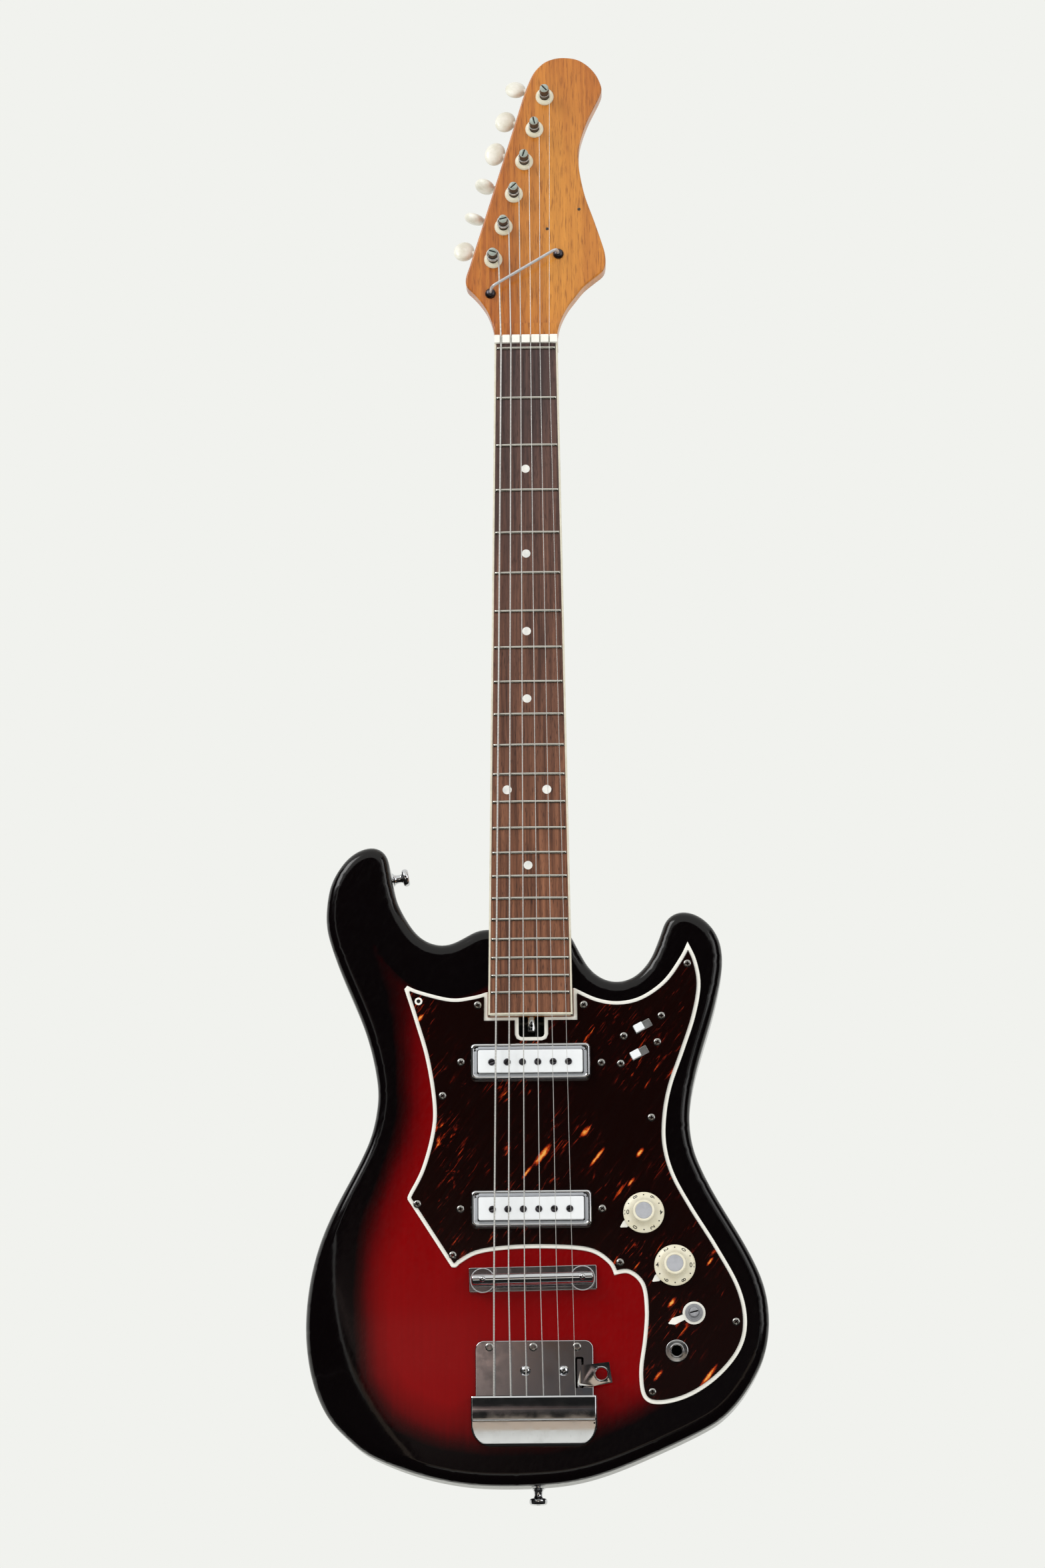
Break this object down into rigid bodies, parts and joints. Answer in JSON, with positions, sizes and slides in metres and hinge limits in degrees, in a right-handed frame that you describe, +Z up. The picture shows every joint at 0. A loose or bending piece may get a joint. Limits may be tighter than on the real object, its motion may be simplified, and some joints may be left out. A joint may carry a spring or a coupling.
{
  "type": "electric guitar",
  "caption": "Solid body electric guitar with two cutaways, tortoiseshell guard, twin pickups, adjustable bar bridge, vibrato tailpiece and a one-sided row of geared tuners.",
  "frame": {"origin": "lowest edge of the body on the neck's centre line, at half the body's thickness, where a stand or a lap holds it", "axes": "+Z up along the neck, +Y out of the back, -Y out of the front with the strings, +X towards the treble side"},
  "size_m": [0.2985, 0.0601, 0.9822],
  "materials": {
    "red_burst": "glossy dark red lacquer fading to black at the rim",
    "white_plastic": "glossy white plastic",
    "shell_plastic": "glossy dark brown tortoiseshell plastic",
    "neck_wood": "glossy orange brown lacquered wood",
    "fingerboard_wood": "satin dark brown wood",
    "cream_plastic": "glossy aged cream plastic",
    "chrome_metal": "polished chrome plate",
    "steel_metal": "plain nickel plated steel"
  },
  "bodies": {
    "guitar": {"body": "red_burst", "pickguard_backing": "white_plastic", "pickguard_shell": "shell_plastic", "neck": "neck_wood", "fingerboard": "fingerboard_wood", "fingerboard_binding": "cream_plastic", "nut": "white_plastic", "truss_rod": "chrome_metal", "neck_plate": "chrome_metal", "string_retainer": "chrome_metal", "tuner_strip": "chrome_metal", "bridge_base": "chrome_metal", "tailpiece_plate": "chrome_metal", "tailpiece_cover": "chrome_metal", "vibrato_spring": "steel_metal", "pickup_rim_1": "chrome_metal", "pickup_rim_2": "chrome_metal", "pickup_cover_1": "white_plastic", "pickup_cover_2": "white_plastic", "pot_1": "steel_metal", "pot_2": "steel_metal", "pot_3": "steel_metal", "output_jack": "chrome_metal", "switch_housing_1": "steel_metal", "switch_housing_2": "steel_metal", "strap_button_horn": "chrome_metal", "strap_button_tail": "chrome_metal", "tuner_bushing_1": "cream_plastic", "string_1": "steel_metal", "tuner_bushing_2": "cream_plastic", "string_2": "steel_metal", "tuner_bushing_3": "cream_plastic", "string_3": "steel_metal", "tuner_bushing_4": "cream_plastic", "string_4": "steel_metal", "tuner_bushing_5": "cream_plastic", "string_5": "steel_metal", "tuner_bushing_6": "cream_plastic", "string_6": "steel_metal"},
    "bridge_bar": {"bridge_bar": "chrome_metal"},
    "thumbwheel_1": {"bridge_thumbwheel_1": "chrome_metal"},
    "thumbwheel_2": {"bridge_thumbwheel_2": "chrome_metal"},
    "vibrato": {"vibrato_rocker": "chrome_metal"},
    "knob_1": {"knob_1": "cream_plastic"},
    "knob_2": {"knob_2": "cream_plastic"},
    "tone_shaft": {"tone_shaft": "steel_metal"},
    "slider_1": {"switch_slider_1": "white_plastic"},
    "slider_2": {"switch_slider_2": "white_plastic"},
    "post_1": {"tuner_post_1": "steel_metal"},
    "button_1": {"tuner_button_1": "cream_plastic"},
    "post_2": {"tuner_post_2": "steel_metal"},
    "button_2": {"tuner_button_2": "cream_plastic"},
    "post_3": {"tuner_post_3": "steel_metal"},
    "button_3": {"tuner_button_3": "cream_plastic"},
    "post_4": {"tuner_post_4": "steel_metal"},
    "button_4": {"tuner_button_4": "cream_plastic"},
    "post_5": {"tuner_post_5": "steel_metal"},
    "button_5": {"tuner_button_5": "cream_plastic"},
    "post_6": {"tuner_post_6": "steel_metal"},
    "button_6": {"tuner_button_6": "cream_plastic"}
  },
  "joints": [
    {"name": "tuner_button_turn_1", "type": "hinge", "parent": "guitar", "child": "button_1", "pos_m": [-0.0205, -0.0032, 0.83036], "axis": [-0.9568, 0, 0.2907], "continuous": true},
    {"name": "tuner_post_turn_1", "type": "hinge", "parent": "guitar", "child": "post_1", "pos_m": [-0.0221, 0, 0.8251], "axis": [0, 1, 0], "continuous": true},
    {"name": "tuner_button_turn_2", "type": "hinge", "parent": "guitar", "child": "button_2", "pos_m": [-0.01335, -0.0032, 0.8539], "axis": [-0.9568, 0, 0.2907], "continuous": true},
    {"name": "tuner_post_turn_2", "type": "hinge", "parent": "guitar", "child": "post_2", "pos_m": [-0.01495, 0, 0.84864], "axis": [0, 1, 0], "continuous": true},
    {"name": "tuner_button_turn_3", "type": "hinge", "parent": "guitar", "child": "button_3", "pos_m": [-0.0062, -0.0032, 0.87744], "axis": [-0.9568, 0, 0.2907], "continuous": true},
    {"name": "tuner_post_turn_3", "type": "hinge", "parent": "guitar", "child": "post_3", "pos_m": [-0.0078, 0, 0.87218], "axis": [0, 1, 0], "continuous": true},
    {"name": "tuner_button_turn_4", "type": "hinge", "parent": "guitar", "child": "button_4", "pos_m": [0.00095, -0.0032, 0.90097], "axis": [-0.9568, 0, 0.2907], "continuous": true},
    {"name": "tuner_post_turn_4", "type": "hinge", "parent": "guitar", "child": "post_4", "pos_m": [-0.00065, 0, 0.89571], "axis": [0, 1, 0], "continuous": true},
    {"name": "tuner_button_turn_5", "type": "hinge", "parent": "guitar", "child": "button_5", "pos_m": [0.0081, -0.0032, 0.92451], "axis": [-0.9568, 0, 0.2907], "continuous": true},
    {"name": "tuner_post_turn_5", "type": "hinge", "parent": "guitar", "child": "post_5", "pos_m": [0.00651, 0, 0.91925], "axis": [0, 1, 0], "continuous": true},
    {"name": "tuner_button_turn_6", "type": "hinge", "parent": "guitar", "child": "button_6", "pos_m": [0.01525, -0.0032, 0.94805], "axis": [-0.9568, 0, 0.2907], "continuous": true},
    {"name": "tuner_post_turn_6", "type": "hinge", "parent": "guitar", "child": "post_6", "pos_m": [0.01366, 0, 0.94279], "axis": [0, 1, 0], "continuous": true},
    {"name": "knob_1_turn", "type": "hinge", "parent": "guitar", "child": "knob_1", "pos_m": [0.072, -0.0235, 0.1729], "axis": [0, -1, 0], "range_deg": [0, 300]},
    {"name": "knob_2_turn", "type": "hinge", "parent": "guitar", "child": "knob_2", "pos_m": [0.0915, -0.0235, 0.1388], "axis": [0, -1, 0], "range_deg": [-150, 150]},
    {"name": "tone_turn", "type": "hinge", "parent": "guitar", "child": "tone_shaft", "pos_m": [0.1033, -0.0235, 0.1082], "axis": [0, -1, 0], "range_deg": [-150, 150]},
    {"name": "switch_1_slide", "type": "slide", "parent": "guitar", "child": "slider_1", "axis": [0.8829, 0, 0.4695], "range_m": [0, 0.0054]},
    {"name": "switch_2_slide", "type": "slide", "parent": "guitar", "child": "slider_2", "axis": [0.8829, 0, 0.4695], "range_m": [0, 0.0054]},
    {"name": "bridge_height", "type": "slide", "parent": "guitar", "child": "bridge_bar", "axis": [0, 1, 0], "range_m": [0, 0.0014]},
    {"name": "thumbwheel_1_turn", "type": "hinge", "parent": "bridge_bar", "child": "thumbwheel_1", "pos_m": [-0.03168, -0.0259, 0.1299], "axis": [0, 1, 0], "range_deg": [0, 720]},
    {"name": "thumbwheel_2_turn", "type": "hinge", "parent": "bridge_bar", "child": "thumbwheel_2", "pos_m": [0.03231, -0.0259, 0.1309], "axis": [0, 1, 0], "range_deg": [0, 720]},
    {"name": "vibrato_rock", "type": "hinge", "parent": "guitar", "child": "vibrato", "pos_m": [0, -0.0268, 0.046], "axis": [-1, 0, 0], "range_deg": [0, 5], "stiffness_Nm_per_rad": 4, "springref_deg": -5.73}
  ],
  "couplings": [
    {"joint": "tuner_post_turn_1", "follows": "tuner_button_turn_1", "ratio": 0.071429},
    {"joint": "tuner_post_turn_2", "follows": "tuner_button_turn_2", "ratio": 0.071429},
    {"joint": "tuner_post_turn_3", "follows": "tuner_button_turn_3", "ratio": 0.071429},
    {"joint": "tuner_post_turn_4", "follows": "tuner_button_turn_4", "ratio": 0.071429},
    {"joint": "tuner_post_turn_5", "follows": "tuner_button_turn_5", "ratio": 0.071429},
    {"joint": "tuner_post_turn_6", "follows": "tuner_button_turn_6", "ratio": 0.071429},
    {"joint": "thumbwheel_1_turn", "follows": "bridge_height", "rad_per_m": 8975},
    {"joint": "thumbwheel_2_turn", "follows": "bridge_height", "rad_per_m": 8975}
  ]
}
